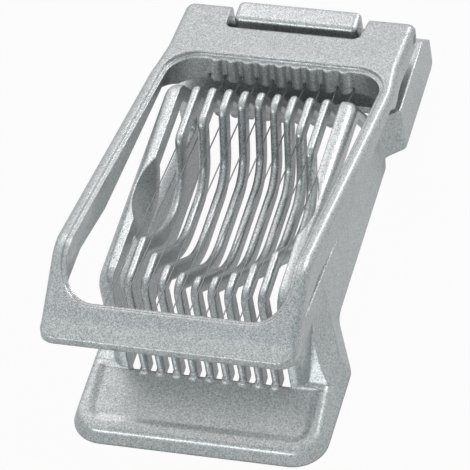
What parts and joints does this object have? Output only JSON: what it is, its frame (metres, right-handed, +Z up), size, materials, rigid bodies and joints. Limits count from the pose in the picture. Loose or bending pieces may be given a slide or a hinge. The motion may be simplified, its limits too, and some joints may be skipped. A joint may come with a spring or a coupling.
{
  "type": "egg slicer",
  "caption": "Hand egg slicer: a cast metal base with a ribbed egg hollow and a front hold-down lip, and a hinged frame strung with parallel cutting wires.",
  "frame": {"origin": "on the plane that the slicer stands on, in the middle of the wall under the lip's rear edge", "axes": "+Z up, +Y from the front lip to the hinge, +X to the right seen from the front"},
  "size_m": [0.0772, 0.1655, 0.0652],
  "materials": {
    "base_lacquer": "silver metallic lacquer with a fine sparkle on a casting",
    "frame_lacquer": "silver metallic lacquer with a fine sparkle on a casting",
    "wire_steel": "drawn stainless wire",
    "ferrule_steel": "crimped steel sleeve",
    "pin_steel": "turned steel pin"
  },
  "bodies": {
    "base": {"base_casting": "base_lacquer"},
    "frame": {"slicing_frame": "frame_lacquer", "hinge_pin_left": "pin_steel", "hinge_pin_right": "pin_steel", "cutting_wire_01": "wire_steel", "cutting_wire_02": "wire_steel", "cutting_wire_03": "wire_steel", "cutting_wire_04": "wire_steel", "cutting_wire_05": "wire_steel", "cutting_wire_06": "wire_steel", "cutting_wire_07": "wire_steel", "cutting_wire_08": "wire_steel", "cutting_wire_09": "wire_steel", "cutting_wire_10": "wire_steel", "rear_wire_ferrules": "ferrule_steel", "front_wire_ferrules": "ferrule_steel"}
  },
  "joints": [
    {"name": "frame_hinge", "type": "hinge", "parent": "base", "child": "frame", "pos_m": [0, 0.1204, 0.0315], "axis": [-1, 0, 0], "range_deg": [-17.8, 80]}
  ]
}
